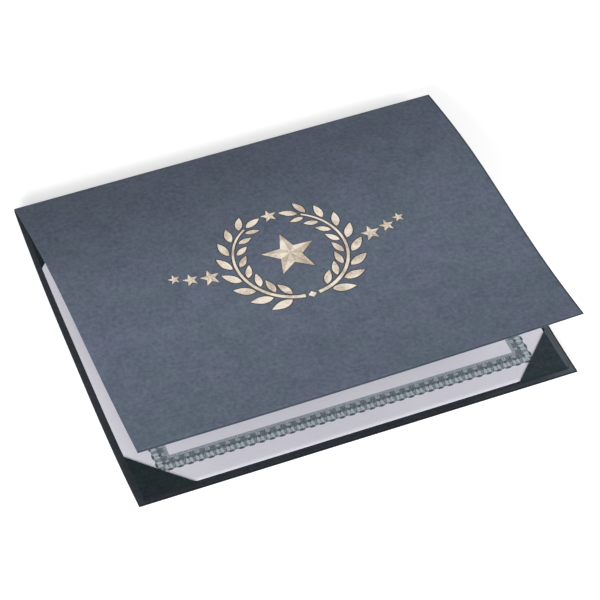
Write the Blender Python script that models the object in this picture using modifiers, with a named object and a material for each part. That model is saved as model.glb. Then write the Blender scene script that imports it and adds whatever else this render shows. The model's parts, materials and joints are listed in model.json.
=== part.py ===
"""Certificate cover: a tent-fold card cover with a pocket page that holds one sheet.

Metres, +Z up. +X runs along the fold, and +Y from the front edge back to the fold.
The origin is under the middle of the cover, on the surface that it lies on.
"""

import math

import bmesh
import bpy
from mathutils import Matrix, Vector

# The sheet that the cover is made for: a letter page laid sideways
CERTIFICATE_WIDTH = 0.2794
CERTIFICATE_DEPTH = 0.2159
CERTIFICATE_STOCK = 0.0002

# Thickness of the other cards
COVER_STOCK = 0.0005
PAGE_STOCK = 0.0004
POCKET_STOCK = 0.0002
LINING_STOCK = 0.0003

# Gap between two cards that lie on each other or meet end to end
CARD_GAP = 0.00025

# Margins: certificate to page edge, page edge to cover edge, page to the start of the fold,
# and pockets to front lining where the cover is shut
CERTIFICATE_PLAY = 0.0008
BORDER = 0.0045
FOLD_MARGIN = 0.0100
CLOSED_PLAY = 0.0004

# Corner pockets: length along each page edge, the flaps glued under the page, how far a flap
# tapers at the pocket's mouth, the mitre between the two flaps, and the creases of the folds
POCKET_LEG = 0.034
FLAP_WIDTH = 0.007
FLAP_TAPER = 0.005
MITRE_WIDTH = 0.0008
CREASE_RADIUS = 0.0003
CREASE_STEPS = 2

# The rear panel is flat under its middle and curls up towards its front edge and the fold
REST_STRIP = 0.060
REAR_CURL = 0.008

# The front panel stands open at this angle. It bends along its length in an arch and a wave,
# as card does that a fold holds up, and its front edge dips between its corners.
OPENING_ANGLE = math.radians(12.0)
FRONT_ARCH = 0.0024
FRONT_WAVE = 0.0032
FRONT_DIP = 0.0010

# Facets: along each curled end of the rear half, along and across the front half, round the fold
CURL_ROWS = 12
FRONT_ROWS = 26
FRONT_COLUMNS = 10
FOLD_STEPS = 12

# Outline of the page and of the cover
PAGE_WIDTH = CERTIFICATE_WIDTH + 2 * CERTIFICATE_PLAY
PAGE_DEPTH = CERTIFICATE_DEPTH + 2 * CERTIFICATE_PLAY
COVER_WIDTH = PAGE_WIDTH + 2 * BORDER

# Levels of the cards above the underside of the rear panel
POCKET_FLOOR = COVER_STOCK + CARD_GAP
PAGE_LEVEL = POCKET_FLOOR + POCKET_STOCK + CARD_GAP
CERTIFICATE_LEVEL = PAGE_LEVEL + PAGE_STOCK + CARD_GAP
POCKET_TOP = CERTIFICATE_LEVEL + CERTIFICATE_STOCK + CARD_GAP + POCKET_STOCK

# The shut fold is as tall as what it closes over, and half as deep
FOLD_RADIUS = (POCKET_TOP + CLOSED_PLAY + LINING_STOCK + CARD_GAP + COVER_STOCK) / 2
PANEL_DEPTH = BORDER + PAGE_DEPTH + FOLD_MARGIN
FRONT_EDGE = -(PANEL_DEPTH + FOLD_RADIUS) / 2
PAGE_FRONT = FRONT_EDGE + BORDER
PAGE_BACK = PAGE_FRONT + PAGE_DEPTH
FOLD_START = FRONT_EDGE + PANEL_DEPTH

OUTER_CARD = (0.105, 0.125, 0.168, 1.0)
INNER_CARD = (0.030, 0.038, 0.046, 1.0)
CERTIFICATE_PAPER = (0.62, 0.61, 0.66, 1.0)
CARD_ROUGHNESS = 0.8


def clear_scene():
    for thing in list(bpy.data.objects):
        bpy.data.objects.remove(thing, do_unlink=True)


def make_material(name, colour):
    material = bpy.data.materials.new(name)
    material.use_nodes = True
    shader = material.node_tree.nodes["Principled BSDF"]
    shader.inputs["Base Color"].default_value = colour
    shader.inputs["Roughness"].default_value = CARD_ROUGHNESS
    shader.inputs["Metallic"].default_value = 0.0
    return material


def curl_height(y):
    """Height of the rear panel's underside above the table."""
    past_strip = max(0.0, abs(y) - REST_STRIP / 2)
    return REAR_CURL * (past_strip / (-FRONT_EDGE - REST_STRIP / 2)) ** 2


def curl_slope(y):
    """Slope of the rear panel behind its flat strip."""
    return 2 * curl_height(y) / (abs(y) - REST_STRIP / 2)


def fold_axis():
    """The crease at the back of the fold, which the front half turns about."""
    return Vector((0.0, FOLD_START + FOLD_RADIUS, curl_height(FOLD_START) + FOLD_RADIUS))


def front_level(x, y):
    """Level of the front half's outer face in the shut cover, measured from the crease."""
    along = (-FOLD_RADIUS - y) / PANEL_DEPTH
    across = 2 * x / COVER_WIDTH
    wave = FRONT_ARCH * math.sin(math.pi * along) + FRONT_WAVE * math.sin(2 * math.pi * along)
    return FOLD_RADIUS + wave - FRONT_DIP * (1 - across**2) * along**2


def make_sheet(width, front, back, level, columns=1, rows=1):
    """A flat rectangle that looks up, centred on X."""
    middle = Matrix.Translation((0.0, (front + back) / 2, level))
    size = Matrix.Diagonal((width, back - front, 1.0, 1.0))
    bm = bmesh.new()
    bmesh.ops.create_grid(bm, x_segments=columns, y_segments=rows, size=0.5, matrix=middle @ size)
    return bm


def curl_up(bm):
    """Bends a card of the rear half into the curl of the panel under it."""
    reach = -FRONT_EDGE - REST_STRIP / 2
    rows = [REST_STRIP / 2 + reach * row / CURL_ROWS for row in range(CURL_ROWS)]
    for y in rows + [-row for row in rows]:
        everything = bm.verts[:] + bm.edges[:] + bm.faces[:]
        bmesh.ops.bisect_plane(bm, geom=everything, dist=1e-6, plane_co=(0, y, 0), plane_no=(0, 1, 0))
    for vert in bm.verts:
        vert.co.z += curl_height(vert.co.y)


def make_card(name, bm, stock, side, material, collection, parent=None):
    """Card of the given stock on one side of a surface: 1 the side it faces, -1 the other."""
    mesh = bpy.data.meshes.new(name)
    bm.to_mesh(mesh)
    bm.free()
    mesh.materials.append(material)
    card = bpy.data.objects.new(name, mesh)
    collection.objects.link(card)
    card.parent = parent
    solidify = card.modifiers.new("Stock", "SOLIDIFY")
    solidify.thickness = stock
    solidify.offset = side
    solidify.use_even_offset = True
    solidify.use_quality_normals = True
    return card


def make_rear_panel(material, collection):
    bm = make_sheet(COVER_WIDTH, FRONT_EDGE, FOLD_START, 0.0)
    curl_up(bm)
    make_card("rear_cover_panel", bm, COVER_STOCK, 1, material, collection)


def make_pocket_page(material, collection):
    bm = make_sheet(PAGE_WIDTH, PAGE_FRONT, PAGE_BACK, PAGE_LEVEL)
    curl_up(bm)
    make_card("pocket_page", bm, PAGE_STOCK, 1, material, collection)


def make_certificate(material, collection):
    front = PAGE_FRONT + CERTIFICATE_PLAY
    bm = make_sheet(CERTIFICATE_WIDTH, front, front + CERTIFICATE_DEPTH, CERTIFICATE_LEVEL)
    curl_up(bm)
    make_card("certificate_sheet", bm, CERTIFICATE_STOCK, 1, material, collection)


def fold_out(bm, edges, step):
    """Carries card on from these edges by a step, and returns the new corners."""
    geometry = bmesh.ops.extrude_edge_only(bm, edges=edges)["geom"]
    corners = [part for part in geometry if isinstance(part, bmesh.types.BMVert)]
    bmesh.ops.translate(bm, verts=corners, vec=step)
    return corners


def make_corner_pocket(name, side_x, side_y, material, collection):
    """A triangle of card over a corner of the page, folded down its edges and in under it."""
    skirt = CARD_GAP + POCKET_STOCK
    leg = POCKET_LEG + skirt
    page_corner = Vector((side_x * PAGE_WIDTH / 2, PAGE_BACK if side_y > 0 else PAGE_FRONT, 0.0))
    corner = page_corner + Vector((side_x * skirt, side_y * skirt, POCKET_TOP))
    along_x = Vector((-side_x, 0.0, 0.0))
    along_y = Vector((0.0, -side_y, 0.0))

    bm = bmesh.new()
    tip, end_x, end_y = [bm.verts.new(corner + leg * run) for run in (Vector(), along_x, along_y)]
    top = bm.faces.new((tip, end_x, end_y))
    folds = [bm.edges.get((tip, end)) for end in (end_x, end_y)]
    lower = fold_out(bm, folds, Vector((0.0, 0.0, POCKET_FLOOR - POCKET_TOP)))
    foot = min(lower, key=lambda vert: (vert.co - corner).length)
    for along, across in ((along_x, along_y), (along_y, along_x)):
        far = max(lower, key=lambda vert: vert.co.dot(along))
        flap = fold_out(bm, [bm.edges.get((foot, far))], FLAP_WIDTH * across)
        at_tip, at_mouth = sorted(flap, key=lambda vert: vert.co.dot(along))
        at_tip.co += (FLAP_WIDTH + MITRE_WIDTH / 2) * along
        at_mouth.co -= FLAP_TAPER * along

    bmesh.ops.recalc_face_normals(bm, faces=bm.faces)
    if top.normal.z < 0:
        bmesh.ops.reverse_faces(bm, faces=bm.faces)
    creases = [edge for edge in bm.edges if len(edge.link_faces) == 2]
    round_off = {"offset": CREASE_RADIUS, "segments": CREASE_STEPS, "profile": 0.5, "affect": "EDGES"}
    bmesh.ops.bevel(bm, geom=creases, **round_off)
    curl_up(bm)
    pocket = make_card(name, bm, POCKET_STOCK, -1, material, collection)
    solidify = pocket.modifiers["Stock"]
    solidify.solidify_mode = "NON_MANIFOLD"
    solidify.nonmanifold_thickness_mode = "CONSTRAINTS"


def make_fold(material, collection):
    """The rounded strip from the rear panel round to where the opened front panel starts."""
    axis = fold_axis()
    start = Vector((0.0, FOLD_START, curl_height(FOLD_START)))
    opened = Matrix.Rotation(-OPENING_ANGLE, 3, "X")
    end = axis + opened @ Vector((0.0, -FOLD_RADIUS, FOLD_RADIUS))
    lean = math.atan(curl_slope(FOLD_START))
    normal = Vector((0.0, -math.sin(lean), math.cos(lean)))
    chord = end - start
    radius = chord.length_squared / (2 * chord.dot(normal))
    centre = start + radius * normal
    gap = CARD_GAP / (radius - COVER_STOCK)
    turn = 2 * math.asin(chord.length / (2 * radius)) - 2 * gap

    first = centre + Matrix.Rotation(gap, 3, "X") @ (start - centre)
    bm = bmesh.new()
    line = [bm.verts.new(first + Vector((x, 0, 0))) for x in (COVER_WIDTH / 2, -COVER_WIDTH / 2)]
    geometry = line + [bm.edges.new(line)]
    bmesh.ops.spin(bm, geom=geometry, cent=centre, axis=(1, 0, 0), angle=turn, steps=FOLD_STEPS)
    for face in bm.faces:
        face.normal_update()
        if face.normal.dot(face.calc_center_median() - centre) < 0:
            face.normal_flip()
    make_card("fold_strip", bm, COVER_STOCK, -1, material, collection)


def make_front_sheet(name, width, front, back, depth, stock, material, hinge):
    """A card of the front half, at this depth under its outer face and placed from the crease."""
    crease = hinge.location.y
    bm = make_sheet(width, front - crease, back - crease, 0.0, FRONT_COLUMNS, FRONT_ROWS)
    for vert in bm.verts:
        vert.co.z = front_level(vert.co.x, vert.co.y) - depth
    make_card(name, bm, stock, -1, material, hinge.users_collection[0], hinge)


def make_front_half(outer, inner, collection):
    hinge = bpy.data.objects.new("cover_fold", None)
    hinge.location = fold_axis()
    hinge.rotation_euler.x = -OPENING_ANGLE
    collection.objects.link(hinge)
    panel = (COVER_WIDTH, FRONT_EDGE, FOLD_START)
    lining = (PAGE_WIDTH, PAGE_FRONT, PAGE_BACK)
    make_front_sheet("front_cover_panel", *panel, 0.0, COVER_STOCK, outer, hinge)
    make_front_sheet("front_lining", *lining, COVER_STOCK + CARD_GAP, LINING_STOCK, inner, hinge)


def build():
    clear_scene()
    collection = bpy.data.collections.new("certificate_cover")
    bpy.context.scene.collection.children.link(collection)
    outer = make_material("outer_card", OUTER_CARD)
    inner = make_material("inner_card", INNER_CARD)
    paper = make_material("certificate_paper", CERTIFICATE_PAPER)

    make_rear_panel(outer, collection)
    make_fold(outer, collection)
    make_pocket_page(inner, collection)
    for side_y, end in ((-1, "front"), (1, "back")):
        for side_x, side in ((-1, "left"), (1, "right")):
            make_corner_pocket(f"corner_pocket_{end}_{side}", side_x, side_y, inner, collection)
    make_certificate(paper, collection)
    make_front_half(outer, inner, collection)


build()
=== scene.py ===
"""Looks of the certificate cover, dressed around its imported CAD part.

Metres, +Z up. +X runs along the fold, +Y from the front edge back to the fold.
"""

import json
import math

import bmesh
import bpy
from mathutils import Matrix, Vector


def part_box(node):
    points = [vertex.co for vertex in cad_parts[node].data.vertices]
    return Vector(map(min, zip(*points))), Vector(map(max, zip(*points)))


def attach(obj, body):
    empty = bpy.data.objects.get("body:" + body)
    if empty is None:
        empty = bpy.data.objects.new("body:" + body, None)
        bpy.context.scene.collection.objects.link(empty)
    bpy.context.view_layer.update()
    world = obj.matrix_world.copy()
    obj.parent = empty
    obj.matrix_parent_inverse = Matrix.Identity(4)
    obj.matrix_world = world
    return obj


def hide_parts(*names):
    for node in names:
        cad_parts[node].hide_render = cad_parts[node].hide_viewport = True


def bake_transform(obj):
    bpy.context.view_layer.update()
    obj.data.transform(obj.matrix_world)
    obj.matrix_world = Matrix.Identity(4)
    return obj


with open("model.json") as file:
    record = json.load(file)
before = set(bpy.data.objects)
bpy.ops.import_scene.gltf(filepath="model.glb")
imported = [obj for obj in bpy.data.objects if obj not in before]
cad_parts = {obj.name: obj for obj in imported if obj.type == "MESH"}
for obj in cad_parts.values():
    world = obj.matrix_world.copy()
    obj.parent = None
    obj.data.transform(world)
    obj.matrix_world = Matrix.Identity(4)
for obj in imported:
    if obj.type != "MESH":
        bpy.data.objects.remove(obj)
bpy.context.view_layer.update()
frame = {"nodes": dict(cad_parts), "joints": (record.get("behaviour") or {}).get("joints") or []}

MM = 0.001

# The cover's form, as in the CAD part
PANEL_LOW, PANEL_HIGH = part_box("rear_cover_panel")
COVER_WIDTH = PANEL_HIGH.x - PANEL_LOW.x
FRONT_EDGE, FOLD_START = PANEL_LOW.y, PANEL_HIGH.y
PANEL_DEPTH = FOLD_START - FRONT_EDGE
CREASE = Vector(frame["joints"][0]["pos_m"])
FOLD_RADIUS = CREASE.y - FOLD_START
COVER_STOCK = 0.5 * MM
REST_STRIP = 60 * MM
REAR_CURL = 8 * MM
OPENING_ANGLE = math.radians(12)
POCKET_LOW, POCKET_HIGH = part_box("corner_pocket_front_right")

# Place and thickness of the inner cards: how far the undersides of the page and the certificate
# lie above the rear panel's underside, and the lining's upper side below the front panel's
# outer face
PAGE_LEVEL, PAGE_STOCK = 1.2 * MM, 0.4 * MM
CERTIFICATE_LEVEL, CERTIFICATE_STOCK = 1.85 * MM, 0.2 * MM
LINING_DEPTH, LINING_STOCK = 0.75 * MM, 0.3 * MM

# The photographed front panel arches more on its left than on its right, has a slight wave
# along its length, and dips between the corners of its front edge
FRONT_ARCH, ARCH_LEAN = 3.6 * MM, -2.1 * MM
FRONT_WAVE = 3.0 * MM
FRONT_DIP = 1.4 * MM

# The card is cut a little out of square: the front panel's right side is shorter by this share,
# and the card's left edge runs inwards by this much at the fold
FRONT_SKEW = 0.013
FOLD_TRIM = 1.5 * MM

# How far the certificate has slid to the left in its pockets
CERTIFICATE_SLIDE = -0.8 * MM

# How finely the sheets are divided. The front panel's rows crowd towards the fold by this power
COVER_COLUMNS, REAR_ROWS, FOLD_STEPS, FRONT_ROWS = 48, 72, 24, 112
FRONT_CROWDING = 1.25
CARD_COLUMNS, REAR_CARD_ROWS, LINING_ROWS = 24, 72, 90
SHARP_ANGLE = math.radians(40)
CUT_EDGE_ANGLE = math.radians(60)

# Tones of the felt card: dark, light and worn, as linear colours
OUTER_TONES = (0.089, 0.111, 0.152), (0.160, 0.190, 0.251), (0.22, 0.25, 0.30)
INNER_TONES = (0.016, 0.018, 0.024), (0.034, 0.037, 0.047), (0.06, 0.065, 0.075)
DARK_TONES = (0.007, 0.014, 0.017), (0.020, 0.031, 0.035), (0.05, 0.06, 0.07)
# The right-hand pockets' card: the dark card made paler, as painted sheen
SHEEN_PAINTED_TONES = (0.013, 0.024, 0.030), (0.038, 0.054, 0.063), (0.072, 0.086, 0.100)
# The dark card of the painted deboss shadow round the foil
SHADOW_RING_TONES = (0.026, 0.020, 0.020), (0.060, 0.050, 0.050), (0.08, 0.07, 0.07)
# Tone of the painted sheen that pales the right-hand margins and folds, as a linear colour
PAINTED_SHEEN_TONE = (0.125, 0.147, 0.171)

# Tones of the foil: dark and light
FOIL_TONES = (0.46, 0.375, 0.295), (0.86, 0.785, 0.68)
# The foil's bevelled rim, darker as painted shade
FOIL_RIM_SHADE_TONES = (0.28, 0.20, 0.15), (0.46, 0.36, 0.28)
# Every second facet of a star, darker as painted shade
FOIL_SHADE_TONES = (0.38, 0.30, 0.23), (0.64, 0.55, 0.45)
FOIL_WORN_TONE = (0.40, 0.33, 0.27)

# Tones of the certificate: its paper, the paper between the border's lines, and the border's ink
PAPER_TONES = (0.70, 0.685, 0.76), (0.74, 0.725, 0.80)
BORDER_TONE = (0.36, 0.45, 0.50)
INK_TONES = (0.038, 0.068, 0.078), (0.056, 0.060, 0.088)

# The certificate's printed border, in millimetres: half sizes to the scallops' tips, where its
# middle lies, how far it is printed askew, and the width of one scallop
PRINT_HALF_WIDTH, PRINT_HALF_DEPTH = 124.8, 95.35
PRINT_SIDE_SQUEEZE = 1.04
PRINT_MIDDLE = (-0.1, -3.74)
PRINT_SKEW = 0.006
SCALLOP = 6.578
SCALLOP_SHIFT = -1.3

# The foil ornament is drawn on a plane: x to the right, y towards the fold, in millimetres
# from the middle of the wreath, which lies this far from the fold
FOIL_MIDDLE = 113.0
FOIL_RISE = 0.12
FOIL_ROOT = 0.06
FOIL_BEVEL = 0.50
# Width of the ring of painted deboss shadow round each piece of foil
SHADOW_RING_WIDTH = 0.45
WREATH_RADIUS = 36.0
BRANCH_START, BRANCH_END = math.radians(-83), math.radians(58)
STEM_STEPS, STEM_WIDTH, STEM_TAPER = 30, 2.7, 1.3
LEAF_PAIRS, LEAF_STEPS = 8, 9
LEAF_LENGTH, LEAF_WIDTH, LEAF_BEND = 15.6, 6.2, 1.0
LEAVES_START, LEAVES_END = math.radians(-70), math.radians(54)
# The outer and the inner leaf of a pair, as distance from the stem, turn from it, size at the
# branch's foot and what the size loses by its tip, and the last leaf, as angle, turn and size
PAIR_LEAVES = (2.3, -0.62, 1.0, 0.22), (-2.3, 0.78, 0.80, 0.18)
LAST_LEAF = (BRANCH_END + 0.05, -0.01, 0.8)
TIE_RADIUS, TIE_SQUASH = 3.0, 0.9
STAR_WAIST = 0.42
# Stars as x, y, radius and height of the peak: in the row on either side, and on the middle line
ROW_STARS = (54.0, -1, 6.8, 0.5), (66.0, 1.5, 5.4, 0.5), (75.5, 5.5, 4.2, 0.5)
MIDDLE_STARS = (0, 0.5, 18.0, 1.2), (0, 36.5, 5.6, 0.5)
# Places of a foil piece's materials: foil, ring of painted shadow, painted shade on rim and
# facets
PLATE, SHADOW_RING, PAINTED_RIM_SHADE, SHADED = range(4)

# Camera at the photograph's viewing angle. Its focal length is in pixels of the square frame
VIEW_AZIMUTH = math.radians(-27.216)
VIEW_ELEVATION = math.radians(54.155)
VIEW_ROLL = math.radians(6.270)
VIEW_DISTANCE = 1.81299
VIEW_TARGET = Vector((5.134 * MM, -3.187 * MM, 0))
FOCUS_PIXELS, FRAME_PIXELS = 2872.87, 600
SENSOR_WIDTH = 36
NEAREST_SEEN = 0.05

# Lamps: name, place, diameter, and the level to which each lights a white surface
SOFTBOXES = (
    ("left_softbox", (-0.75, -1.10, 0.60), 0.7, 1.22),
    ("right_softbox", (1.00, -0.65, 0.66), 0.7, 0.60),
)

# The white world's strength where it is seen, and for the light that it gives
WORLD_SEEN, WORLD_LIT = 1.0, 0.27

# The floor's paint, and its glow near the object and what is added to it farther out, between
# these squared distances
FLOOR_HALF_SIZE = 4.0
FLOOR_TONES = (0.81, 0.81, 0.81), (0.83, 0.83, 0.83)
FLOOR_GLOW, FLOOR_FAR_GLOW = 0.50, 0.32
FLOOR_NEAR, FLOOR_FAR = 0.3, 3.0


def curl_height(y):
    """Height of the rear panel's underside."""
    past_strip = max(0.0, abs(y) - REST_STRIP / 2)
    return REAR_CURL * (past_strip / (-FRONT_EDGE - REST_STRIP / 2)) ** 2


def fold_trim(x, share):
    """How far a point of the left half lies inwards, for a share of 1 at the fold."""
    return FOLD_TRIM * min(0.0, 2 * x / COVER_WIDTH) ** 2 * share


def front_point(x, depth, lift=0.0):
    """Point of the front panel's outer face, at a distance from the fold and a lift above it."""
    along = depth / PANEL_DEPTH
    across = 2 * x / COVER_WIDTH
    arch = (FRONT_ARCH + ARCH_LEAN * across) * math.sin(math.pi * along)
    wave = FRONT_WAVE * math.sin(2 * math.pi * along)
    level = FOLD_RADIUS + arch + wave - FRONT_DIP * (1 - across**2) * along**2 + lift
    reach = depth * (1 - FRONT_SKEW * (1 + across) / 2)
    turned = Matrix.Rotation(-OPENING_ANGLE, 3, "X") @ Vector((0, -FOLD_RADIUS - reach, level))
    return CREASE + turned + Vector((x + fold_trim(x, 1 - along), 0, 0))


def fold_arc(steps):
    """Points of the fold's outer face between the rear and the front panel, and its length."""
    start = Vector((0, FOLD_START, curl_height(FOLD_START)))
    end = front_point(0, 0)
    lean = math.atan(2 * curl_height(FOLD_START) / (FOLD_START - REST_STRIP / 2))
    normal = Vector((0, -math.sin(lean), math.cos(lean)))
    chord = end - start
    radius = chord.length_squared / (2 * chord.dot(normal))
    centre = start + radius * normal
    turn = 2 * math.asin(chord.length / (2 * radius))
    turns = [Matrix.Rotation(turn * step / steps, 3, "X") for step in range(1, steps)]
    return [centre + part @ (start - centre) for part in turns], radius * turn


SHEET_LENGTH = 2 * PANEL_DEPTH + fold_arc(1)[1]


class Field:
    """A number that varies over a surface. Its arithmetic adds Math nodes to a material."""

    def __init__(self, tree, socket):
        self.tree = tree
        self.socket = socket

    def math(self, operation, *others):
        node = self.tree.nodes.new("ShaderNodeMath")
        node.operation = operation
        for slot, value in enumerate((self, *others)):
            if isinstance(value, Field):
                self.tree.links.new(value.socket, node.inputs[slot])
            else:
                node.inputs[slot].default_value = value
        return Field(self.tree, node.outputs[0])

    def __add__(self, other):
        return self.math("ADD", other)

    def __sub__(self, other):
        return self.math("SUBTRACT", other)

    def __mul__(self, other):
        return self.math("MULTIPLY", other)

    def __truediv__(self, other):
        return self.math("DIVIDE", other)

    def __rsub__(self, other):
        return self * -1.0 + other

    __radd__ = __add__
    __rmul__ = __mul__

    def __abs__(self):
        return self.math("ABSOLUTE")

    def pingpong(self, period):
        """Distance to the nearest whole multiple of twice the period."""
        return self.math("PINGPONG", period)

    def squared(self):
        return self.math("POWER", 2.0)

    def choose(self, low, high):
        """low where this is 0 and high where it is 1."""
        return low + (high - low) * self

    def least(self, other):
        return self.math("MINIMUM", other)

    def most(self, other):
        return self.math("MAXIMUM", other)

    def rise(self, low, high):
        """0 below low, 1 above high, and smooth between them."""
        node = self.tree.nodes.new("ShaderNodeMapRange")
        node.interpolation_type = "SMOOTHSTEP"
        self.tree.links.new(self.socket, node.inputs["Value"])
        node.inputs["From Min"].default_value = low
        node.inputs["From Max"].default_value = high
        return Field(self.tree, node.outputs["Result"])

    def fall(self, low, high):
        """1 below low, 0 above high, and smooth between them."""
        return 1.0 - self.rise(low, high)


class Material:
    """A Principled material with short calls for the nodes that these surfaces use."""

    def __init__(self, name, roughness=0.5, metallic=0.0, specular=0.5):
        self.data = bpy.data.materials.new(name)
        self.data.use_nodes = True
        self.tree = self.data.node_tree
        self.shader = self.tree.nodes["Principled BSDF"]
        self.shader.inputs["Roughness"].default_value = roughness
        self.shader.inputs["Metallic"].default_value = metallic
        self.shader.inputs["Specular IOR Level"].default_value = specular

    def node(self, kind, **inputs):
        node = self.tree.nodes.new(kind)
        for name, value in inputs.items():
            self.feed(node.inputs[name], value)
        return node

    def feed(self, target, value):
        """Link a field or a node's output to a socket, or set the socket to a plain value."""
        if isinstance(value, Field):
            value = value.socket
        if isinstance(value, bpy.types.NodeSocket):
            self.tree.links.new(value, target)
        else:
            target.default_value = value

    def place(self, uv_map=None):
        """Where a point lies on the flat sheet, or in the object, in metres."""
        if uv_map:
            node = self.tree.nodes.new("ShaderNodeUVMap")
            node.uv_map = uv_map
            return node.outputs["UV"]
        return self.tree.nodes.new("ShaderNodeTexCoord").outputs["Object"]

    def split(self, place):
        node = self.node("ShaderNodeSeparateXYZ", Vector=place)
        return [Field(self.tree, output) for output in node.outputs]

    def noise(self, place, size, detail=2.0, roughness=0.5):
        """Noise with features about as large as size, from 0 to 1."""
        node = self.node("ShaderNodeTexNoise", Vector=place, Detail=detail, Roughness=roughness)
        node.inputs["Scale"].default_value = 1 / size
        return Field(self.tree, node.outputs["Fac"])

    def stretched(self, place, factors):
        node = self.node("ShaderNodeMapping", Vector=place, Scale=factors)
        return node.outputs["Vector"]

    def mix(self, factor, low, high):
        """Colour low where the factor is 0, and high where it is 1."""
        node = self.tree.nodes.new("ShaderNodeMix")
        node.data_type = "RGBA"
        self.feed(node.inputs[0], factor)
        for slot, colour in ((6, low), (7, high)):
            self.feed(node.inputs[slot], (*colour, 1.0) if isinstance(colour, tuple) else colour)
        return node.outputs[2]

    def colour(self, value):
        self.feed(self.shader.inputs["Base Color"], value)

    def roughness(self, value):
        self.feed(self.shader.inputs["Roughness"], value)

    def bump(self, height, depth):
        node = self.node("ShaderNodeBump", Height=height, Distance=depth, Strength=1.0)
        self.feed(self.shader.inputs["Normal"], node.outputs["Normal"])


def felt_card(name, tones, uv_map=None, edges=()):
    """Felt-marked cover stock: short matted fibres, soft mottling, drifting tints and specks.

    edges are the functions below that paint shade or sheen into its tone along edges and folds.
    """
    dark, light, worn = tones
    card = Material(name, specular=0.15)
    place = card.place(uv_map)
    fibres_x = card.noise(card.stretched(place, (1.0, 1.7, 1.0)), 3.8 * MM, 3.0, 0.62)
    fibres_y = card.noise(card.stretched(place, (1.7, 1.0, 1.0)), 4.0 * MM, 3.0, 0.62)
    tooth = card.noise(place, 1.2 * MM, 2.0, 0.7)
    blotch = card.noise(place, 9 * MM)
    mottle = card.noise(place, 22 * MM, 3.0)
    felt = fibres_x * 0.43 + fibres_y * 0.43 + tooth * 0.14
    shade = (felt - 0.5) * 3.5 + (blotch - 0.5) * 0.65 + (mottle - 0.5) * 0.8 + 0.5

    def tinted(*factors):
        return tuple(part * factor for part, factor in zip(light, factors))

    fleck = card.noise(place, 7 * MM).rise(0.35, 0.65)
    violet = card.mix(fleck, tinted(1.05, 0.975, 1.04), tinted(1.015, 0.99, 1.04))
    green = card.mix(fleck, tinted(0.985, 1.01, 0.96), tinted(0.95, 1.025, 0.96))
    tint = card.mix(card.noise(place, 40 * MM).rise(0.35, 0.65), violet, green)
    specks = card.noise(place, 1.6 * MM, 1.0).rise(0.66, 0.78)
    tone = card.mix(specks * 0.2, card.mix(shade.rise(-0.35, 1.35), dark, tint), worn)
    # The dark tone of the painted shade that the edge functions lay along cut edges and folds
    painted_shade = tuple(part * 0.45 for part in dark)
    for edge in edges:
        tone = edge(card, place, tone, painted_shade)
    card.colour(tone)
    card.roughness(tooth * 0.16 + 0.72)
    card.bump(felt + tooth * 0.4, 0.14 * MM)
    return card.data


def painted_edge_shade(card, place, tone, painted_shade):
    """Painted shade: the outer card's ends and right edge, darker along their cut edges."""
    x, run, _ = card.split(place)
    rim = (COVER_WIDTH / 2 - x).least(run).least(SHEET_LENGTH - run)
    return card.mix(rim.fall(0.5 * MM, 1.7 * MM) * 0.85, tone, painted_shade)


def painted_sheen_margins(card, place, tone, _):
    """Painted sheen: the rear margins, paler on the right and towards the front right corner."""
    x, run, _ = card.split(place)
    fray = card.noise(place, 5 * MM) * 1.2 * MM - 0.6 * MM
    rear = run.fall(0.9 * PANEL_DEPTH, PANEL_DEPTH)
    from_corner = run.rise(0.0, 12 * MM) * 0.3 + 0.7
    right = (COVER_WIDTH / 2 - x + fray).fall(4.4 * MM, 6.0 * MM) * from_corner
    left = (COVER_WIDTH / 2 + x + fray).fall(3.6 * MM, 5.0 * MM) * 0.08
    to_corner = x.rise(60 * MM, 120 * MM) * 0.2 + x.rise(118 * MM, 139 * MM) * 0.36
    front = (run + fray).fall(3.6 * MM, 5.0 * MM) * to_corner
    return card.mix(right.most(left).most(front) * rear * 0.85, tone, PAINTED_SHEEN_TONE)


def painted_sheen_side_fold(card, place, tone, _):
    """Painted sheen: the right-hand pockets' outer fold, made paler."""
    x, _, _ = card.split(place)
    return card.mix((POCKET_HIGH.x - x).fall(1.2 * MM, 2.0 * MM) * 0.6, tone, PAINTED_SHEEN_TONE)


def painted_fold_shade(card, place, tone, painted_shade):
    """Painted shade: the front pockets' fold along the page's front edge, made darker."""
    _, y, _ = card.split(place)
    return card.mix((y - POCKET_LOW.y).fall(0.2 * MM, 0.7 * MM) * 0.8, tone, painted_shade)


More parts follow.
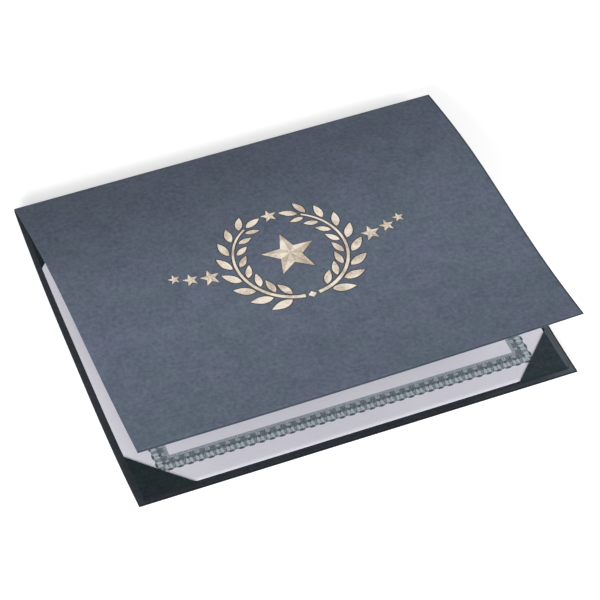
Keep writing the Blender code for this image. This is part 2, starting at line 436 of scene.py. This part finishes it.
def certificate_print(name):
    """Pale paper with an engraved lace border of scallops, petals, drops, domes and rings.

    The border is drawn in millimetres. inward is the distance from the scallops' tips, and the
    pattern repeats along it from one petal, over the gap, to the next.
    """
    paper = Material(name)
    place = paper.place("flat")
    x, y, _ = paper.split(place)
    x = (x + CERTIFICATE_SLIDE) / MM - PRINT_MIDDLE[0]
    y = y / MM - PRINT_MIDDLE[1]
    along = x - y * PRINT_SKEW
    down = abs(y + x * PRINT_SKEW)
    from_side = (PRINT_HALF_WIDTH - abs(along)) * PRINT_SIDE_SQUEEZE
    from_end = PRINT_HALF_DEPTH - down
    inward = from_side.least(from_end)
    on_side = from_side.math("LESS_THAN", from_end)
    wander = paper.noise(place, 3 * MM) * 0.9 - 0.45
    off_petal = on_side.choose(
        (along + wander + SCALLOP_SHIFT).pingpong(SCALLOP / 2),
        (down + wander + SCALLOP / 2).pingpong(SCALLOP / 2),
    )
    off_gap = SCALLOP / 2 - off_petal

    def oval(aside, centre, half_width, half_depth, soft):
        """1 inside an oval, and 0 outside it."""
        reach = (aside / half_width).squared() + ((inward - centre) / half_depth).squared()
        return reach.fall(1 - soft, 1 + soft)

    # The border's forms, each 1 where it lies, measured from its scalloped edge or its tips
    from_edge = inward - off_petal.rise(0.9, 2.6) * 0.8
    band = from_edge.rise(0.0, 0.25) * inward.fall(11.05, 11.65)
    outline = from_edge.fall(0.4, 1.0)
    scallop_tips = oval(off_petal, 0.7, 1.8, 1.05, 0.4)
    petals = oval(off_petal - 1.35, 3.4, 0.8, 1.7, 0.6)
    wedges = (off_gap - inward * 0.08).fall(-0.2, 0.5) * inward.fall(4.4, 5.4)
    drops = oval(off_petal, 5.6, 0.95, 1.1, 0.4)
    above_scallops = inward.rise(4.6, 5.4)
    domes = oval(off_gap, 6.4, 1.8, 2.4, 0.7)
    dome_hearts = oval(off_gap, 6.1, 0.8, 1.5, 0.7)
    rings = oval(off_petal, 8.0, 1.45, 1.25, 0.45)
    ring_hearts = oval(off_petal, 8.2, 0.6, 0.5, 0.6)
    inner_rim = inward.rise(8.6, 9.8)

    # How dark they are printed, over a ground that is darker above the scallops
    tone = above_scallops.choose(off_petal.rise(1.2, 2.8) * 0.16 + 0.36, 0.66)
    tone = petals.choose(tone, 0.12)
    tone = tone.most(domes * 0.66).most(dome_hearts * 0.76)
    tone = rings.choose(tone, 0.34).most(ring_hearts * 0.55)
    tone = inner_rim.choose(tone, 0.42)
    tone = tone.most(wedges * 0.62).most(scallop_tips * 1.05).most(outline * 0.66)

    # Engraved lines: rays in the scallops, and crossed lines above them
    rays = (off_petal * 1.7 + inward * 0.45).pingpong(1.0)
    rising = (off_petal * 1.6 + inward * 1.2).pingpong(1.0)
    falling = (off_petal * 1.6 - inward * 1.2).pingpong(1.0)
    engraving = above_scallops.choose(rays, (rising + falling) / 2)
    bleed = paper.noise(place, 1.1 * MM, 3.0, 0.6)
    ink = (tone * 1.25 - engraving * 0.45 + bleed - 0.50).rise(-0.15, 0.84)
    ink = ink.most(drops) * band

    fibre = paper.noise(paper.stretched(place, (1.0, 2.5, 1.0)), 3 * MM, 4.0, 0.6)
    cloud = paper.noise(place, 40 * MM, 3.0)
    stock = paper.mix((fibre * 0.5 + cloud * 0.5).rise(0.3, 0.7), *PAPER_TONES)
    ground = paper.mix(band * 0.7, stock, BORDER_TONE)
    ink_tone = paper.mix(paper.noise(place, 4 * MM).rise(0.35, 0.65), *INK_TONES)
    paper.colour(paper.mix(ink * 0.93, ground, ink_tone))
    paper.roughness(fibre * 0.15 + 0.55 - ink * 0.1)
    paper.bump(fibre + ink * 0.3, 0.02 * MM)
    return paper.data


def hot_foil(name, tones):
    """Pale gold foil stamped into felt card, so that the card's grain shows through."""
    foil = Material(name, metallic=1.0)
    place = foil.place()
    grain = foil.noise(place, 1.6 * MM, 3.0, 0.7)
    sheen = foil.noise(place, 9 * MM)
    tone = foil.mix((grain * 0.35 + sheen * 0.65).rise(0.30, 0.62), *tones)
    rubbed = foil.noise(place, 2.2 * MM, 4.0, 0.7).rise(0.64, 0.76)
    foil.colour(foil.mix(rubbed * 0.35, tone, FOIL_WORN_TONE))
    foil.roughness(grain * 0.25 + 0.24)
    foil.bump(grain, 0.08 * MM)
    return foil.data


def render_camera():
    back = Vector((
        math.sin(VIEW_AZIMUTH) * math.cos(VIEW_ELEVATION),
        -math.cos(VIEW_AZIMUTH) * math.cos(VIEW_ELEVATION),
        math.sin(VIEW_ELEVATION),
    ))
    level = Vector((math.cos(VIEW_AZIMUTH), math.sin(VIEW_AZIMUTH), 0))
    turn = Matrix.Rotation(VIEW_ROLL, 3, back)
    axes = Matrix((turn @ level, turn @ back.cross(level), back)).transposed()
    data = bpy.data.cameras.new("camera")
    data.sensor_width = SENSOR_WIDTH
    data.lens = FOCUS_PIXELS / FRAME_PIXELS * SENSOR_WIDTH
    data.clip_start = NEAREST_SEEN
    camera = bpy.data.objects.new("camera", data)
    camera.matrix_world = Matrix.Translation(VIEW_TARGET + back * VIEW_DISTANCE) @ axes.to_4x4()
    bpy.context.scene.collection.objects.link(camera)
    bpy.context.scene.camera = camera


def softbox(name, place, size, level):
    """A round lamp that lights a white surface, at the origin and facing it, to this level."""
    place = Vector(place)
    data = bpy.data.lights.new(name, "AREA")
    data.shape = "DISK"
    data.size = size
    data.energy = level * (math.pi * place.length) ** 2
    light = bpy.data.objects.new(name, data)
    light.location = place
    light.rotation_euler = place.to_track_quat("Z", "Y").to_euler()
    bpy.context.scene.collection.objects.link(light)


def white_where_seen(tree, seen, lit):
    """A strength of seen where the camera or a reflection looks, and of lit for its light."""
    path = tree.nodes.new("ShaderNodeLightPath")
    looks = Field(tree, path.outputs["Is Camera Ray"])
    for output in ("Is Glossy Ray", "Is Transmission Ray"):
        looks = looks.most(Field(tree, path.outputs[output]))
    return looks * (seen - lit) + lit


def floor_paint():
    """White paint with a glow that is seen but lights nothing, to meet the white background."""
    paint = Material("floor_white", roughness=0.9, specular=0.0)
    tree = paint.tree
    place = paint.place()
    paint.colour(paint.mix(paint.noise(place, 0.4), *FLOOR_TONES))
    x, y, _ = paint.split(place)
    far = (x.squared() + y.squared()).rise(FLOOR_NEAR, FLOOR_FAR)
    strength = white_where_seen(tree, far * FLOOR_FAR_GLOW + FLOOR_GLOW, 0.0)
    glow = paint.node("ShaderNodeEmission", Strength=strength)
    both = tree.nodes.new("ShaderNodeAddShader")
    tree.links.new(paint.shader.outputs[0], both.inputs[0])
    tree.links.new(glow.outputs[0], both.inputs[1])
    tree.links.new(both.outputs[0], tree.nodes["Material Output"].inputs["Surface"])
    return paint.data


def studio():
    """A white world, two soft lamps and a pale floor."""
    scene = bpy.context.scene
    scene.view_settings.view_transform = "Standard"
    world = bpy.data.worlds.new("studio")
    scene.world = world
    world.use_nodes = True
    background = world.node_tree.nodes["Background"]
    background.inputs["Color"].default_value = (1, 1, 1, 1)
    strength = white_where_seen(world.node_tree, WORLD_SEEN, WORLD_LIT)
    world.node_tree.links.new(strength.socket, background.inputs["Strength"])
    for name, place, size, level in SOFTBOXES:
        softbox(name, place, size, level)

    bm = bmesh.new()
    bmesh.ops.create_grid(bm, x_segments=1, y_segments=1, size=FLOOR_HALF_SIZE)
    mesh = bpy.data.meshes.new("floor")
    bm.to_mesh(mesh)
    bm.free()
    floor = bpy.data.objects.new("floor", mesh)
    scene.collection.objects.link(floor)
    floor.data.materials.append(floor_paint())


def finished_object(name, mesh, materials, modifiers=()):
    """An object whose modifiers are applied, shaded smooth except at its sharp edges."""
    for material in materials:
        mesh.materials.append(material)
    draft = bpy.data.objects.new(name + "_draft", mesh)
    bpy.context.scene.collection.objects.link(draft)
    for kind, settings in modifiers:
        modifier = draft.modifiers.new(kind, kind)
        for key, value in settings.items():
            setattr(modifier, key, value)
    depsgraph = bpy.context.evaluated_depsgraph_get()
    final = bpy.data.meshes.new_from_object(draft.evaluated_get(depsgraph))
    bpy.data.objects.remove(draft)
    bpy.data.meshes.remove(mesh)
    final.name = name
    piece = bpy.data.objects.new(name, final)
    bpy.context.scene.collection.objects.link(piece)
    final.shade_smooth()
    final.set_sharp_from_angle(angle=SHARP_ANGLE)
    return piece


def spread(width, columns):
    """Evenly spaced places across a sheet, with 0 in its middle."""
    return [width * (column / columns - 0.5) for column in range(columns + 1)]


def thick_sheet(name, rows, stock, side, materials, turned=False):
    """A card with rounded edges, on one side of a surface.

    rows hold the surface's points and their places on the flat card, which are kept as the UV
    map flat. Its faces run the other way round where it is turned. A second material is that
    of the side away from the surface.
    """
    bm = bmesh.new()
    flat = bm.loops.layers.uv.new("flat")
    grid = [[(bm.verts.new(point), place) for point, place in row] for row in rows]
    for near, far in zip(grid, grid[1:]):
        for column in range(len(near) - 1):
            corners = [near[column], near[column + 1], far[column + 1], far[column]]
            if turned:
                corners[1:] = reversed(corners[1:])
            face = bm.faces.new([vert for vert, _ in corners])
            for loop, (_, place) in zip(face.loops, corners):
                loop[flat].uv = place
    mesh = bpy.data.meshes.new(name)
    bm.to_mesh(mesh)
    bm.free()
    solid = {
        "thickness": stock,
        "offset": side,
        "use_even_offset": True,
        "material_offset": len(materials) - 1,
    }
    edge = {
        "width": stock / 5,
        "segments": 2,
        "limit_method": "ANGLE",
        "angle_limit": CUT_EDGE_ANGLE,
    }
    return finished_object(name, mesh, materials, (("SOLIDIFY", solid), ("BEVEL", edge)))


def cover_sheet(outer, inner):
    """The whole outer card in one piece, from the rear panel's front edge round the fold."""
    arc, arc_length = fold_arc(FOLD_STEPS)
    xs = spread(COVER_WIDTH, COVER_COLUMNS)
    rows = []
    for step in range(REAR_ROWS + 1):
        back = step / REAR_ROWS
        y = FRONT_EDGE + PANEL_DEPTH * back
        z = curl_height(y)
        run = y - FRONT_EDGE
        rows.append([(Vector((x + fold_trim(x, back**2), y, z)), (x, run)) for x in xs])
    for step, point in enumerate(arc, 1):
        run = PANEL_DEPTH + arc_length * step / FOLD_STEPS
        rows.append([(point + Vector((x + fold_trim(x, 1), 0, 0)), (x, run)) for x in xs])
    for step in range(FRONT_ROWS + 1):
        depth = PANEL_DEPTH * (step / FRONT_ROWS) ** FRONT_CROWDING
        run = PANEL_DEPTH + arc_length + depth
        rows.append([(front_point(x, depth), (x, run)) for x in xs])

    cover = thick_sheet("cover_sheet", rows, COVER_STOCK, -1, (outer, inner), turned=True)
    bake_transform(cover)
    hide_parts("rear_cover_panel", "fold_strip", "front_cover_panel")


def rear_sheet(name, node, material, level, stock, slide=0.0):
    """A card that lies over the rear panel, in the place of a CAD node."""
    low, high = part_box(node)
    xs = spread(high.x - low.x, CARD_COLUMNS)
    rows = []
    for step in range(REAR_CARD_ROWS + 1):
        y = low.y + (high.y - low.y) * step / REAR_CARD_ROWS
        z = curl_height(y) + level
        rows.append([(Vector((x + slide, y, z)), (x, y)) for x in xs])
    sheet = thick_sheet(name, rows, stock, 1, (material,))
    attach(sheet, "rear_cover")
    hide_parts(node)


def lining_sheet(material):
    """The card glued inside the front panel, as deep as the page."""
    low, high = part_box("front_lining")
    page_low, page_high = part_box("pocket_page")
    far, near = FOLD_START - page_low.y, FOLD_START - page_high.y
    xs = spread(high.x - low.x, CARD_COLUMNS)
    rows = []
    for step in range(LINING_ROWS + 1):
        depth = far + (near - far) * step / LINING_ROWS
        rows.append([(front_point(x, depth, -LINING_DEPTH), (x, depth)) for x in xs])
    sheet = thick_sheet("lining_card", rows, LINING_STOCK, -1, (material,))
    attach(sheet, "front_cover")
    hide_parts("front_lining")


def leaf_outline(root, direction, size, bend):
    """A pointed leaf from its root, widest just before its middle and a little bent."""
    ahead = Vector((math.cos(direction), math.sin(direction)))
    aside = Vector((-ahead.y, ahead.x))
    length, width = LEAF_LENGTH * size, LEAF_WIDTH * size
    sides = []
    for side in (-1, 1):
        edge = []
        for step in range(1, LEAF_STEPS):
            run = step / LEAF_STEPS
            half = width / 2 * math.sin(math.pi * run**0.85) ** 0.9
            edge.append(root + ahead * length * run + aside * (side * half + bend * run * run))
        sides.append(edge)
    tip = root + ahead * length + aside * bend
    return [root, *sides[0], tip, *reversed(sides[1])]


def stroke_outline(points, widths):
    """A band of varying width along a line of points."""
    left, right = [], []
    for index, point in enumerate(points):
        before, after = points[max(index - 1, 0)], points[min(index + 1, len(points) - 1)]
        ahead = (after - before).normalized()
        aside = Vector((-ahead.y, ahead.x)) * widths[index] / 2
        left.append(point + aside)
        right.append(point - aside)
    return right + list(reversed(left))


def star_outline(centre, radius):
    """A star of five points, one of them towards the fold."""
    reach = [radius, radius * STAR_WAIST] * 5
    turns = [math.tau * corner / 10 + math.pi / 2 for corner in range(10)]
    return [centre + Vector((math.cos(a), math.sin(a))) * far for a, far in zip(turns, reach)]


def tie_outline():
    """The small diamond where the wreath's branches meet."""
    corners = []
    for angle in (math.tau * corner / 4 for corner in range(4)):
        away = Vector((math.cos(angle) * TIE_RADIUS, math.sin(angle) * TIE_RADIUS * TIE_SQUASH))
        corners.append(Vector((0, -WREATH_RADIUS)) + away)
    return corners


def wreath_branch(side):
    """One laurel branch: -1 on the left and 1 on the right."""

    def on_wreath(angle, reach):
        return Vector((side * math.cos(angle) * reach, math.sin(angle) * reach))

    def leaf(angle, out, turn, size):
        heading = angle + math.pi / 2 + turn
        direction = heading if side > 0 else math.pi - heading
        bend = math.copysign(LEAF_BEND * size, -turn * side)
        return leaf_outline(on_wreath(angle, WREATH_RADIUS + out), direction, size, bend)

    sweep = BRANCH_END - BRANCH_START
    stem, widths = [], []
    for step in range(STEM_STEPS + 1):
        stem.append(on_wreath(BRANCH_START + sweep * step / STEM_STEPS, WREATH_RADIUS))
        widths.append(STEM_WIDTH - STEM_TAPER * step / STEM_STEPS)
    shapes = [stroke_outline(stem, widths)]
    for pair in range(LEAF_PAIRS):
        run = pair / (LEAF_PAIRS - 1)
        angle = LEAVES_START + (LEAVES_END - LEAVES_START) * run
        for out, turn, size, loss in PAIR_LEAVES:
            shapes.append(leaf(angle, out, turn, size - loss * run))
    angle, turn, size = LAST_LEAF
    shapes.append(leaf(angle, 0.0, turn, size))
    return shapes


def grown(outline, by):
    """The outline moved outwards."""
    befores, afters = outline[-1:] + outline[:-1], outline[1:] + outline[:1]
    area = sum(p.x * q.y - q.x * p.y for p, q in zip(outline, afters))
    turn = 1 if area > 0 else -1
    moved = []
    for before, point, after in zip(befores, outline, afters):
        sides = [(point - before).normalized(), (after - point).normalized()]
        outward = sum((Vector((side.y, -side.x)) * turn for side in sides), Vector((0, 0)))
        moved.append(point + outward.normalized() * by)
    return moved


def add_plate(bm, outline, low, high, bevel, material_index):
    """A plate, with a bevelled rim where bevel isn't 0."""
    base = bm.faces.new([bm.verts.new((point.x, point.y, low)) for point in outline])
    top = bmesh.ops.extrude_face_region(bm, geom=[base])["geom"]
    faces = {base}
    for part in top:
        if isinstance(part, bmesh.types.BMVert):
            part.co.z = high
            faces.update(part.link_faces)
    for face in faces:
        face.material_index = material_index
    if bevel:
        rim = [part for part in top if isinstance(part, bmesh.types.BMEdge)]
        shape = {"segments": 2, "profile": 0.6, "affect": "EDGES", "clamp_overlap": True}
        # The bevel's faces get the darker foil: painted shade
        for face in bmesh.ops.bevel(bm, geom=rim, offset=bevel, **shape)["faces"]:
            face.material_index = PAINTED_RIM_SHADE


def add_shadow_ring(bm, outline):
    """A ring of dark card round a piece of foil: painted deboss shadow."""
    add_plate(bm, grown(outline, SHADOW_RING_WIDTH), -FOIL_ROOT * 2, FOIL_RISE / 4, 0.0, SHADOW_RING)


def foil_piece(name, materials, outlines, stars=()):
    """Foil stamped into the front panel: thin plates and peaked stars, ringed by painted shadow.
    """
    bm = bmesh.new()
    for outline in outlines:
        add_shadow_ring(bm, outline)
        add_plate(bm, outline, -FOIL_ROOT, FOIL_RISE, FOIL_BEVEL, PLATE)
    for x, y, radius, peak in stars:
        outline = star_outline(Vector((x, y)), radius)
        add_shadow_ring(bm, outline)
        ring = [bm.verts.new((point.x, point.y, FOIL_RISE / 2)) for point in outline]
        middle = bm.verts.new((x, y, peak))
        bm.faces.new(list(reversed(ring)))
        for index, (near, far) in enumerate(zip(ring, ring[1:] + ring[:1])):
            facet = bm.faces.new((near, far, middle))
            # Every second facet gets the darker foil: painted shade
            facet.material_index = SHADED if index % 2 else PLATE
    bmesh.ops.recalc_face_normals(bm, faces=bm.faces)
    for vert in bm.verts:
        x, y, z = vert.co * MM
        vert.co = front_point(x, FOIL_MIDDLE * MM - y, z)
    mesh = bpy.data.meshes.new(name)
    bm.to_mesh(mesh)
    bm.free()
    piece = finished_object(name, mesh, materials)
    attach(piece, "front_cover")


def foil_ornament(materials):
    """A laurel wreath round a star, with a row of smaller stars on either side."""
    for side, name in ((-1, "left"), (1, "right")):
        foil_piece("foil_wreath_" + name, materials, wreath_branch(side))
        row = [(side * x, y, radius, peak) for x, y, radius, peak in ROW_STARS]
        foil_piece("foil_stars_" + name, materials, (), row)
    foil_piece("foil_star", materials, (tie_outline(),), MIDDLE_STARS)


# The edge functions paint shade along cut edges and the pockets' front fold, and sheen on the
# right
outer_felt = felt_card("outer_felt", OUTER_TONES, "flat", (painted_edge_shade,))
inner_felt = felt_card("inner_felt", INNER_TONES, "flat", (painted_sheen_margins, painted_edge_shade))
dark_felt = felt_card("dark_felt", DARK_TONES, edges=(painted_fold_shade,))
right_pocket_painted_edges = (painted_sheen_side_fold, painted_fold_shade)
sheen_painted_felt = felt_card("sheen_painted_felt", SHEEN_PAINTED_TONES, edges=right_pocket_painted_edges)
dark_felt_flat = felt_card("dark_felt_flat", DARK_TONES, "flat")
border_print = certificate_print("border_print")
foil_materials = (
    hot_foil("hot_foil", FOIL_TONES),
    felt_card("shadow_ring_card", SHADOW_RING_TONES),
    hot_foil("hot_foil_rim_shade", FOIL_RIM_SHADE_TONES),
    hot_foil("hot_foil_shade", FOIL_SHADE_TONES),
)

render_camera()
studio()
cover_sheet(outer_felt, inner_felt)
rear_sheet("page_card", "pocket_page", dark_felt_flat, PAGE_LEVEL, PAGE_STOCK)
rear_sheet("certificate_print", "certificate_sheet", border_print,
           CERTIFICATE_LEVEL, CERTIFICATE_STOCK, slide=CERTIFICATE_SLIDE)
lining_sheet(dark_felt_flat)
foil_ornament(foil_materials)
# The left pockets get the dark card, the right-hand ones its paler copy with painted sheen
for end in ("front", "back"):
    frame["nodes"][f"corner_pocket_{end}_left"].data.materials[0] = dark_felt
    frame["nodes"][f"corner_pocket_{end}_right"].data.materials[0] = sheen_painted_felt
